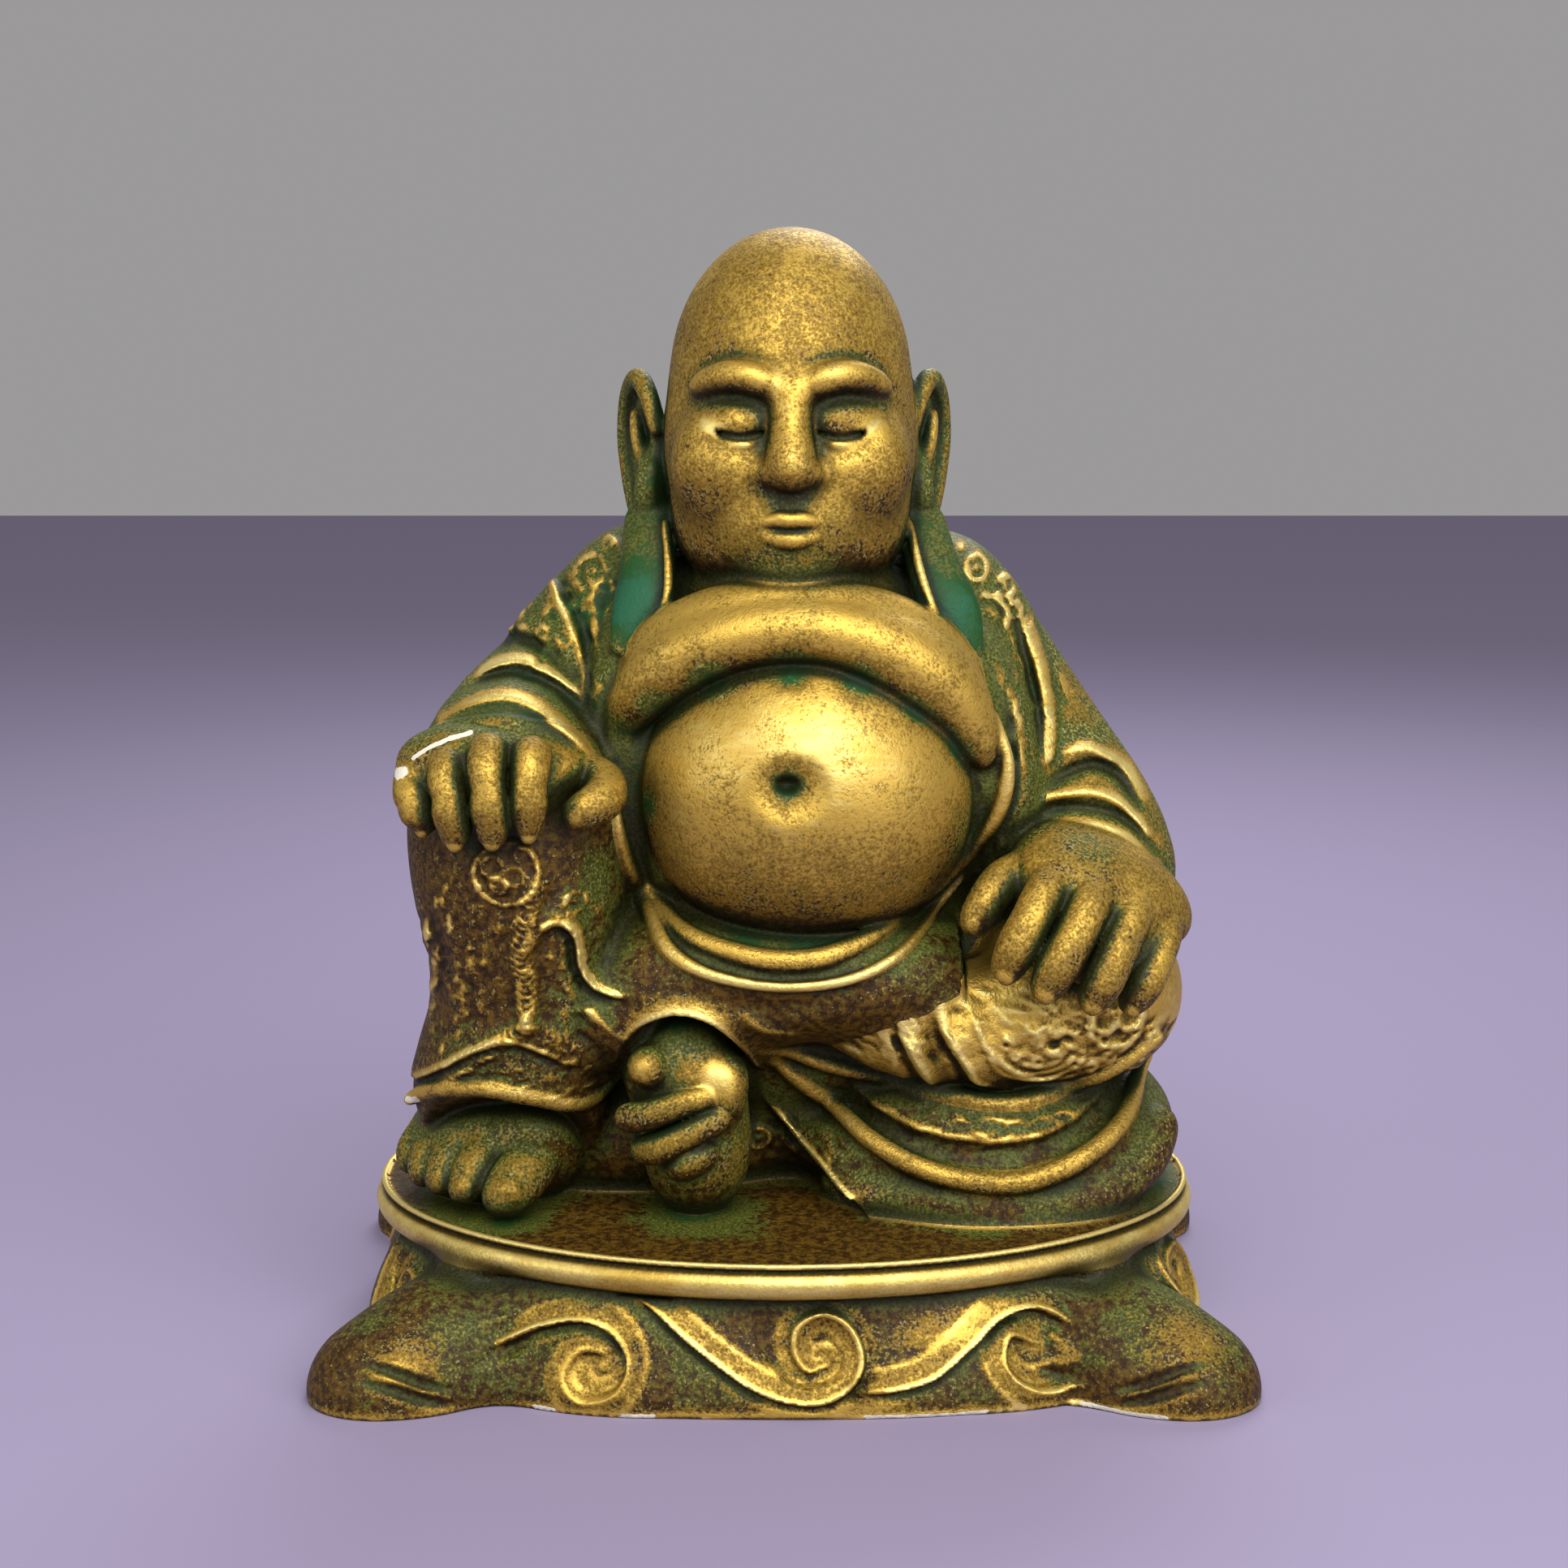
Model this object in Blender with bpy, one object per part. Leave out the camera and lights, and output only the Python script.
"""A seated laughing-buddha statue in cast plaster, on an oval plinth carved with breaking waves.

The real object is one hollow casting. Here it is divided along its own creases into the masses that a
sculptor would build it from. Front is -Y, and the figure's own right is -X. Lengths are in millimetres
in the source and are turned into metres by MM.
"""

import math

import bmesh
import bpy
from mathutils import Euler, Vector

MM = 0.001

# Driving dimensions, in millimetres.
PLINTH_HALF_WIDTH = 131.0
PLINTH_HALF_DEPTH = 99.0
BASE_HEIGHT = 34.0
SLAB_THICKNESS = 12.0
FIGURE_HEIGHT = 345.0
SEAT_HALF_WIDTH = 112.0
SHOULDER_HALF_SPAN = 47.0
SHOULDER_RADIUS = 32.0
BELLY_RADII = (50.0, 48.0, 41.0)
HEAD_RADII = (38.0, 42.0, 56.0)
GAP = 0.3

DOME_ANGLES = (62, 31)

SLAB_TOP = BASE_HEIGHT + SLAB_THICKNESS
HEAD_MIDDLE = (2.0, -12.0, FIGURE_HEIGHT - HEAD_RADII[2])
BELLY_MIDDLE = (7.0, -30.0, 175.0)
# How far the plinth's wall stands outside the slab's oval at each height.
BASE_WALL = ((0.0, 3.0), (5.0, 6.0), (14.0, 3.0), (25.0, -2.0), (BASE_HEIGHT, -4.0))
HOLLOW_MARGIN = 28.0

GILT = (0.55, 0.36, 0.11)
VERDIGRIS = (0.10, 0.22, 0.13)
BROWN_WASH = (0.20, 0.12, 0.04)


def clear_scene():
    for thing in list(bpy.data.objects):
        bpy.data.objects.remove(thing, do_unlink=True)


def paint(name, colour, roughness, metallic):
    """A plain paint for one group of pieces."""
    made = bpy.data.materials.new(name)
    made.use_nodes = True
    shader = made.node_tree.nodes["Principled BSDF"]
    shader.inputs["Base Color"].default_value = (*colour, 1.0)
    shader.inputs["Roughness"].default_value = roughness
    shader.inputs["Metallic"].default_value = metallic
    return made


def add_object(name, mesh, material, place=(0, 0, 0), turn=(0, 0, 0)):
    """An object at a place in millimetres, turned by angles in degrees."""
    made = bpy.data.objects.new(name, mesh)
    made.location = Vector(place) * MM
    made.rotation_euler = Euler([math.radians(angle) for angle in turn])
    mesh.materials.clear()
    mesh.materials.append(material)
    mesh.shade_smooth()
    bpy.context.scene.collection.objects.link(made)
    return made


def mesh_from(build):
    """A mesh that build(bm) fills, with its faces pointing out."""
    bm = bmesh.new()
    build(bm)
    bmesh.ops.recalc_face_normals(bm, faces=bm.faces)
    mesh = bpy.data.meshes.new("shape")
    bm.to_mesh(mesh)
    bm.free()
    return mesh


def ball(name, material, place, radii, turn=(0, 0, 0), taper=0.0, segments=16, rings=10):
    """An ellipsoid. A taper above 0 makes it an egg that is narrow at the top."""

    def build(bm):
        bmesh.ops.create_uvsphere(bm, u_segments=segments, v_segments=rings, radius=1.0)
        for vert in bm.verts:
            narrowing = 1.0 - taper * vert.co.z
            vert.co.x *= radii[0] * MM * narrowing
            vert.co.y *= radii[1] * MM * narrowing
            vert.co.z *= radii[2] * MM

    return add_object(name, mesh_from(build), material, place, turn)


def ring_around(bm, middle, along, across, radius, sides):
    """A ring of vertices round a point, square to the direction along, starting on the side across."""
    upward = across.cross(along)
    ring = []
    for step in range(sides):
        angle = 2 * math.pi * step / sides
        offset = across * math.cos(angle) + upward * math.sin(angle)
        ring.append(bm.verts.new(middle + offset * radius))
    return ring


def squared(across, along):
    """The direction across, tipped until it is square to the direction along."""
    return (across - along * across.dot(along)).normalized()


def bridge(bm, first, second):
    sides = len(first)
    for step in range(sides):
        after = (step + 1) % sides
        bm.faces.new((first[step], first[after], second[after], second[step]))


def limb(name, material, knots, sides=12):
    """A rounded tube through knots of (x, y, z, radius), with domed ends."""
    spine = [Vector(knot[:3]) * MM for knot in knots]
    radii = [knot[3] * MM for knot in knots]
    heading = [(b - a).normalized() for a, b in zip(spine, spine[1:])]
    bends = [(a + b).normalized() for a, b in zip(heading, heading[1:])]
    stations = []
    for angle in DOME_ANGLES:
        lean = math.radians(angle)
        middle = spine[0] - heading[0] * radii[0] * math.sin(lean)
        stations.append((middle, heading[0], radii[0] * math.cos(lean)))
    stations += zip(spine, [heading[0]] + bends + [heading[-1]], radii)
    for angle in reversed(DOME_ANGLES):
        lean = math.radians(angle)
        middle = spine[-1] + heading[-1] * radii[-1] * math.sin(lean)
        stations.append((middle, heading[-1], radii[-1] * math.cos(lean)))

    def build(bm):
        across = Vector((0.31, 0.83, 0.46))
        rings = []
        for middle, along, radius in stations:
            across = squared(across, along)
            rings.append(ring_around(bm, middle, along, across, radius, sides))
        for first, second in zip(rings, rings[1:]):
            bridge(bm, first, second)
        tip = bm.verts.new(spine[0] - heading[0] * radii[0])
        tail = bm.verts.new(spine[-1] + heading[-1] * radii[-1])
        for step in range(sides):
            after = (step + 1) % sides
            bm.faces.new((tip, rings[0][after], rings[0][step]))
            bm.faces.new((tail, rings[-1][step], rings[-1][after]))

    return add_object(name, mesh_from(build), material)


def oval_loft(name, material, levels, place=(0, 0, 0), segments=48, hole=None):
    """Ovals of (z, half width, half depth) joined up, solid or with an oval hole right through."""

    def oval(bm, z, half_width, half_depth):
        ring = []
        for step in range(segments):
            angle = 2 * math.pi * step / segments
            x, y = half_width * math.cos(angle), half_depth * math.sin(angle)
            ring.append(bm.verts.new(Vector((x, y, z)) * MM))
        return ring

    def build(bm):
        rings = [oval(bm, *level) for level in levels]
        for first, second in zip(rings, rings[1:]):
            bridge(bm, first, second)
        if hole is None:
            bm.faces.new(rings[0])
            bm.faces.new(rings[-1])
            return
        low = oval(bm, levels[0][0], *hole)
        high = oval(bm, levels[-1][0], *hole)
        bridge(bm, low, high)
        bridge(bm, rings[0], low)
        bridge(bm, rings[-1], high)

    return add_object(name, mesh_from(build), material, place)


def block(name, material, low, high):
    """A box between two corners, used only to cut with."""

    def build(bm):
        bmesh.ops.create_cube(bm, size=1.0)
        middle = (Vector(low) + Vector(high)) / 2 * MM
        side = (Vector(high) - Vector(low)) * MM
        for vert in bm.verts:
            vert.co = Vector([middle[i] + vert.co[i] * side[i] for i in range(3)])

    return add_object(name, mesh_from(build), material)


def settle(thing):
    """Applies an object's place and modifiers to its mesh."""
    bpy.context.view_layer.update()
    graph = bpy.context.evaluated_depsgraph_get()
    mesh = bpy.data.meshes.new_from_object(thing.evaluated_get(graph))
    mesh.transform(thing.matrix_world)
    thing.modifiers.clear()
    thing.data = mesh
    thing.location = (0, 0, 0)
    thing.rotation_euler = (0, 0, 0)
    return thing


def keep_largest(thing):
    """Drops the scraps that a cut can leave loose."""
    bm = bmesh.new()
    bm.from_mesh(thing.data)
    left = set(bm.verts)
    groups = []
    while left:
        group, edge_of_group = set(), [left.pop()]
        while edge_of_group:
            vert = edge_of_group.pop()
            group.add(vert)
            for edge in vert.link_edges:
                other = edge.other_vert(vert)
                if other in left:
                    left.remove(other)
                    edge_of_group.append(other)
        groups.append(group)
    groups.sort(key=len)
    scraps = [vert for group in groups[:-1] for vert in group]
    bmesh.ops.delete(bm, geom=scraps, context="VERTS")
    bm.to_mesh(thing.data)
    bm.free()


def combine(thing, other, operation):
    cut = thing.modifiers.new(operation.lower(), "BOOLEAN")
    cut.operation = operation
    cut.solver = "EXACT"
    cut.object = other
    settle(thing)
    keep_largest(thing)
    bpy.data.objects.remove(other, do_unlink=True)
    return thing


def swollen(thing, by):
    """A copy of a settled object that stands out by a few tenths of a millimetre all round."""
    copy = add_object("clearance", thing.data.copy(), thing.data.materials[0])
    swell = copy.modifiers.new("swell", "DISPLACE")
    swell.mid_level = 0.0
    swell.strength = by * MM
    return settle(copy)


def twin(thing):
    return add_object("twin", thing.data.copy(), thing.data.materials[0])


def box_of(thing):
    corners = [vert.co for vert in thing.data.vertices]
    low = Vector([min(c[i] for c in corners) for i in range(3)])
    high = Vector([max(c[i] for c in corners) for i in range(3)])
    return low, high


def boxes_meet(first, second):
    (low_a, high_a), (low_b, high_b) = box_of(first), box_of(second)
    return all(low_a[i] < high_b[i] + GAP * MM and low_b[i] < high_a[i] + GAP * MM for i in range(3))


def merge(name, shapes):
    """One solid from simple shapes that overlap, under the name given."""
    solid = twin(shapes[0])
    for shape in shapes[1:]:
        combine(solid, twin(shape), "UNION")
    solid.name = name
    return solid


def fit_together(recipes, floor_cutter):
    """Makes each recipe of (name, shapes) into one solid, cut back by GAP from the ones before it."""
    solids = {}
    made = []
    for name, shapes in recipes:
        shapes = [settle(shape) for shape in shapes]
        solid = merge(name, shapes)
        for earlier in made:
            if boxes_meet(solid, earlier):
                combine(solid, swollen(earlier, GAP), "DIFFERENCE")
        if box_of(solid)[0].z < 0.0:
            combine(solid, twin(floor_cutter), "DIFFERENCE")
        made += shapes
        solids[name] = solid
    for shape in made:
        bpy.data.objects.remove(shape, do_unlink=True)
    for name, solid in solids.items():
        solid.name = name
    return solids


def wall_out(z):
    """How far the plinth's wall stands outside the slab's oval at height z."""
    for (low, out_low), (high, out_high) in zip(BASE_WALL, BASE_WALL[1:]):
        if z <= high:
            return out_low + (out_high - out_low) * (z - low) / (high - low)
    return BASE_WALL[-1][1]


def on_plinth_wall(turn_deg, z, proud):
    """A point on the plinth's oval wall, by its angle from the front and how far it stands proud."""
    angle = math.radians(turn_deg - 90.0)
    out = wall_out(z) + proud
    return (
        (PLINTH_HALF_WIDTH + out) * math.cos(angle),
        (PLINTH_HALF_DEPTH + out) * math.sin(angle),
        z,
    )


def wave_scroll(name, material, turn_deg, height, size, hand):
    """A wave along the plinth's wall that curls into a spiral. hand is 1 or -1, the way it curls."""
    turns, steps, start = 1.15, 12, math.radians(-60)
    degrees_per_mm = math.degrees(1.0 / 115.0)
    knots = []
    for reach, drop, radius in ((2.9, 0.15, 1.8), (2.2, 0.62, 2.1), (1.35, 0.95, 2.4)):
        behind = hand * size * reach * degrees_per_mm
        place = on_plinth_wall(turn_deg - behind, height - size * drop, 0.6)
        knots.append((*place, radius))
    for step in range(steps + 1):
        share = step / steps
        angle = start + 2 * math.pi * turns * share
        radius = size * (1.0 - 0.72 * share)
        along = hand * radius * math.cos(angle) * degrees_per_mm
        place = on_plinth_wall(turn_deg + along, height + 0.9 * radius * math.sin(angle), 0.6)
        knots.append((*place, 2.4 - 1.0 * share))
    return limb(name, material, knots, sides=8)


def make_plinth(gilt, verdigris):
    """The base ring, the slab, four corner feet and ten wave scrolls."""
    wide, deep = PLINTH_HALF_WIDTH, PLINTH_HALF_DEPTH
    base = oval_loft(
        "plinth_base",
        verdigris,
        [(z, wide + out, deep + out) for z, out in BASE_WALL],
        hole=(wide - HOLLOW_MARGIN, deep - HOLLOW_MARGIN),
    )
    slab = oval_loft(
        "plinth_slab",
        gilt,
        [
            (BASE_HEIGHT + GAP, wide - 4, deep - 4),
            (BASE_HEIGHT + 2.5, wide - 1, deep - 1),
            (BASE_HEIGHT + 6, wide, deep),
            (SLAB_TOP - 2, wide - 1, deep - 1),
            (SLAB_TOP, wide - 3, deep - 3),
        ],
    )
    feet = []
    for side, right_or_left in ((-1, "right"), (1, "left")):
        for end, front_or_back in ((-1, "front"), (1, "back")):
            lobe = ball(
                "lobe",
                verdigris,
                (side * 115, end * 77, 11),
                (30, 27, 19),
                turn=(0, 0, side * end * 35),
                segments=16,
                rings=8,
            )
            feet.append((f"corner_foot_{front_or_back}_{right_or_left}", [lobe]))
    scrolls = []
    # Angle round the plinth from the front, height of the spiral's middle, its radius, and its hand.
    waves = (
        (-27, 15, 9.0, 1),
        (6, 20, 9.5, 1),
        (37, 18, 10.0, 1),
        (70, 21, 9.0, -1),
        (-68, 20, 9.5, 1),
        (110, 18, 9.5, 1),
        (143, 18, 9.5, 1),
        (176, 18, 9.5, 1),
        (-151, 18, 9.5, 1),
        (-112, 18, 9.5, -1),
    )
    for number, (turn_deg, height, size, hand) in enumerate(waves, start=1):
        scroll = wave_scroll("scroll", gilt, turn_deg, height, size, hand)
        scrolls.append((f"wave_scroll_{number:02d}", [scroll]))
    return [("plinth_slab", [slab]), ("plinth_base", [base])] + feet + scrolls


def palm_and_fingers(material, palm, fingers):
    """The shapes of a hand or a foot."""
    shapes = [ball("palm", material, *palm, segments=14, rings=8)]
    shapes += [limb("finger", material, finger, sides=7) for finger in fingers]
    return shapes


def make_hands(gilt):
    right_fingers = [
        [(-101, -70, 196, 5.0), (-105, -79, 188, 5.2), (-107, -81, 176, 4.6)],
        [(-93, -70, 200, 5.2), (-97, -84, 193, 5.4), (-98, -86, 176, 4.8)],
        [(-83, -70, 201, 5.2), (-86, -86, 194, 5.5), (-87, -88, 175, 4.9)],
        [(-73, -70, 200, 5.2), (-74, -85, 194, 5.4), (-76, -87, 176, 4.8)],
        [(-66, -60, 190, 6.0), (-60, -74, 186, 6.2), (-65, -80, 177, 5.2)],
    ]
    left_fingers = [
        [(81, -52, 153, 5.4), (76, -64, 147, 5.6), (69, -74, 129, 4.8)],
        [(93, -52, 150, 5.4), (88, -66, 144, 5.6), (80, -77, 121, 4.8)],
        [(104, -48, 145, 5.2), (101, -62, 138, 5.4), (93, -73, 119, 4.7)],
        [(112, -42, 139, 4.8), (111, -54, 132, 5.0), (104, -66, 119, 4.4)],
        [(70, -48, 150, 5.6), (62, -56, 147, 5.4), (58, -62, 140, 4.8)],
    ]
    return [
        ("right_hand", palm_and_fingers(gilt, ((-85, -58, 189), (25, 20, 13)), right_fingers)),
        ("left_hand", palm_and_fingers(gilt, ((92, -42, 143), (27, 20, 15)), left_fingers)),
    ]


def make_feet(gilt):
    right_toes = [
        [(-72, -30, 62, 13.0), (-88, -46, 58, 8.0), (-86, -55, 55, 6.8)],
        [(-84, -28, 62, 8.0), (-93, -42, 57, 6.0), (-97, -48, 54, 5.0)],
        [(-88, -22, 62, 8.0), (-100, -35, 57, 5.8), (-105, -40, 54, 4.8)],
        [(-92, -16, 62, 8.0), (-106, -27, 57, 5.5), (-111, -31, 53, 4.6)],
        [(-94, -8, 62, 8.0), (-110, -17, 57, 5.0), (-115, -20, 54, 4.3)],
    ]
    left_toes = [
        [(-26, -46, 92, 8.0), (-40, -60, 93, 7.0), (-44, -65, 89, 6.5)],
        [(-22, -56, 84, 6.5), (-36, -64, 81, 5.8), (-48, -66, 77, 5.4)],
        [(-18, -58, 76, 6.2), (-30, -66, 73, 5.4), (-43, -67, 69, 5.0)],
        [(-16, -56, 68, 6.0), (-26, -63, 65, 5.2), (-36, -64, 61, 4.6)],
    ]
    return [
        ("right_foot", palm_and_fingers(gilt, ((-84, -24, 64), (25, 20, 17)), right_toes)),
        ("left_foot", palm_and_fingers(gilt, ((-28, -38, 76), (21, 22, 26)), left_toes)),
    ]


def make_legs(brown):
    """The raised right knee and the folded left leg, both under the robe."""
    shin = [(-82, -38, 165, 29), (-81, -39, 128, 27), (-86, -34, 96, 28), (-88, -30, 80, 28)]
    right_thigh = [(-78, -32, 160, 27), (-76, 4, 130, 30)]
    calf = [(98, -24, 112, 26), (60, -40, 108, 24), (20, -40, 104, 20)]
    left_thigh = [(92, -20, 116, 25), (74, 8, 116, 29)]
    return [
        ("right_leg", [limb("shin", brown, shin), limb("thigh", brown, right_thigh)]),
        ("left_leg", [limb("calf", brown, calf), limb("thigh", brown, left_thigh)]),
    ]


def make_torso(gilt):
    belly = ball("belly", gilt, BELLY_MIDDLE, BELLY_RADII, segments=22, rings=14)
    roll = [
        (-44, -42, 194, 6.5),
        (-32, -50, 208, 8.5),
        (2, -54, 219, 9.5),
        (36, -51, 208, 9.0),
        (56, -42, 190, 6.0),
    ]
    yoke = ball("yoke", gilt, (3, -18, 212), (50, 36, 22))
    return [("belly", [belly]), ("chest", [yoke, limb("roll", gilt, roll)])]


def make_head(gilt, verdigris):
    skull = ball("skull", gilt, HEAD_MIDDLE, HEAD_RADII, taper=0.12, segments=20, rings=14)
    recipes = [("head", [skull])]
    for side, name in ((-1, "right_ear"), (1, "left_ear")):
        lobe = [
            (side * 42, -3, 293, 5.0),
            (side * 45, 1, 284, 6.0),
            (side * 44, 0, 266, 6.0),
            (side * 43, -8, 250, 5.5),
            (side * 45, -22, 236, 6.0),
            (side * 49, -32, 224, 5.5),
        ]
        recipes.append((name, [limb("lobe", verdigris, lobe, sides=10)]))
    return recipes


def make_sleeves(verdigris):
    right = [(-54, 12, 214, 30), (-68, 4, 200, 30), (-76, -14, 190, 26), (-82, -36, 186, 21)]
    left = [(54, 12, 214, 30), (74, 6, 190, 30), (84, -6, 165, 27), (92, -24, 150, 21)]
    return [
        ("right_sleeve", [limb("sleeve", verdigris, right, sides=14)]),
        ("left_sleeve", [limb("sleeve", verdigris, left, sides=14)]),
    ]


def make_folds(verdigris):
    """The rolled edge of the robe, the two folds of the skirt, and the hem over the right foot."""
    routes = {
        "robe_edge": [
            (-52, -46, 178, 3.0),
            (-50, -58, 162, 3.2),
            (-43, -68, 147, 3.4),
            (-24, -76, 134, 3.6),
            (0, -78, 130, 3.8),
            (26, -75, 134, 3.6),
            (47, -67, 146, 3.4),
            (59, -56, 162, 3.2),
            (63, -44, 180, 3.0),
        ],
        "skirt_fold_upper": [
            (2, -50, 106, 4.0),
            (24, -60, 95, 5.0),
            (56, -64, 86, 6.0),
            (92, -56, 86, 6.0),
            (116, -34, 94, 5.0),
        ],
        "skirt_fold_lower": [
            (-6, -50, 96, 4.0),
            (12, -56, 76, 5.0),
            (36, -61, 62, 6.5),
            (76, -57, 58, 7.0),
            (108, -38, 64, 7.0),
            (121, -6, 70, 6.0),
        ],
        "right_hem": [
            (-114, -12, 84, 5.0),
            (-107, -38, 84, 5.5),
            (-88, -52, 82, 5.5),
            (-68, -50, 76, 5.0),
            (-54, -38, 72, 4.5),
        ],
    }
    return [(name, [limb("fold", verdigris, route, sides=8)]) for name, route in routes.items()]


def make_robe(verdigris, brown):
    """The cloth over the lap, the back and hips, and the skirt that spreads on the slab."""
    lap = ball("lap", brown, (-12, -39, 118), (58, 32, 26))
    span, radius = SHOULDER_HALF_SPAN, SHOULDER_RADIUS
    shoulders = [(-span, 12, 212, radius), (0, 18, 216, radius), (span, 12, 212, radius)]
    body = [
        ball("back", verdigris, (2, 22, 150), (76, 50, 92), segments=16, rings=12),
        limb("shoulders", verdigris, shoulders),
        ball("hips", verdigris, (2, 16, 104), (106, 56, 48), segments=18, rings=10),
    ]
    wide = SEAT_HALF_WIDTH
    levels = [(SLAB_TOP + GAP, wide, 62), (58, wide + 3, 64), (74, wide, 62), (88, wide - 10, 57)]
    skirt = oval_loft("skirt", verdigris, levels, place=(3, 6, 0), segments=36)
    return [("lap_cloth", [lap]), ("robe_body", body), ("robe_skirt", [skirt])]


def hollow_out(solids, names, material):
    """The casting is a shell: its hollow narrows upwards from the plinth into the seated body."""
    levels = [(-5, 62, 34), (46, 60, 32), (100, 48, 27), (128, 36, 20)]
    core = settle(oval_loft("core", material, levels, place=(2, 18, 0), segments=24))
    for name in names:
        if boxes_meet(solids[name], core):
            combine(solids[name], twin(core), "DIFFERENCE")
    bpy.data.objects.remove(core, do_unlink=True)


def main():
    clear_scene()
    gilt = paint("gilt", GILT, 0.38, 0.85)
    verdigris = paint("verdigris", VERDIGRIS, 0.6, 0.35)
    brown = paint("brown_wash", BROWN_WASH, 0.5, 0.5)
    floor_cutter = settle(block("floor", brown, (-300, -300, -200), (300, 300, 0)))
    # The pieces that stand proud come first, and what lies behind them gives way.
    recipes = make_plinth(gilt, verdigris)
    recipes += make_hands(gilt) + make_feet(gilt) + make_folds(verdigris)
    recipes += make_torso(gilt) + make_head(gilt, verdigris) + make_legs(brown)
    recipes += make_sleeves(verdigris) + make_robe(verdigris, brown)
    solids = fit_together(recipes, floor_cutter)
    bpy.data.objects.remove(floor_cutter, do_unlink=True)
    hollow_names = ("plinth_slab", "robe_skirt", "robe_body", "right_leg", "left_leg", "lap_cloth")
    hollow_out(solids, hollow_names, verdigris)


if __name__ == "__main__":
    main()
